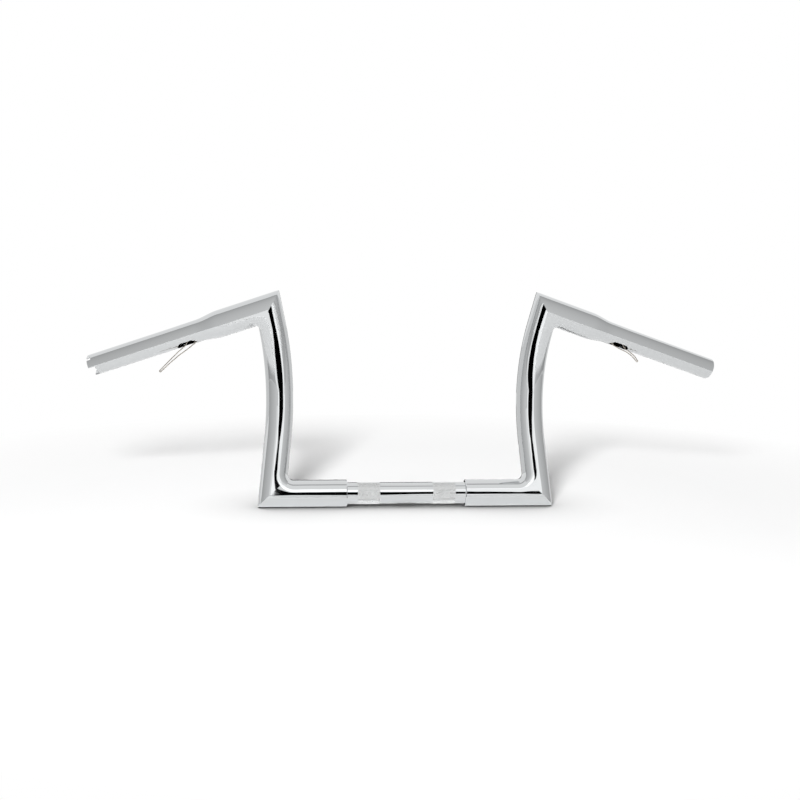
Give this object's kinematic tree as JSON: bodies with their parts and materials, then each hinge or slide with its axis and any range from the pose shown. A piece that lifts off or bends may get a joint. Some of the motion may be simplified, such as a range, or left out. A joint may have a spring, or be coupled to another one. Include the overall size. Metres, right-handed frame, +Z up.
{
  "type": "ape hanger handlebar",
  "caption": "Chromed motorbike handlebar with tall mitred risers, swept-back grip tubes, a knurled clamp bar, internal wiring slots and pull wires.",
  "frame": {"origin": "centre of the clamped bar, on its axis", "axes": "+X along the clamped bar towards the rider's left, +Y back to the rider, +Z up along the line from the bottom corners to the top corners"},
  "size_m": [0.7613, 0.088, 0.2549],
  "materials": {
    "chrome": "polished",
    "pull_wire": "satin"
  },
  "bodies": {
    "root": {"centre_bar": "chrome", "lower_tube_left": "chrome", "lower_tube_right": "chrome", "riser_left": "chrome", "riser_right": "chrome", "grip_tube_left": "chrome", "grip_tube_right": "chrome", "pull_wire_left": "pull_wire", "pull_wire_right": "pull_wire"}
  },
  "joints": []
}
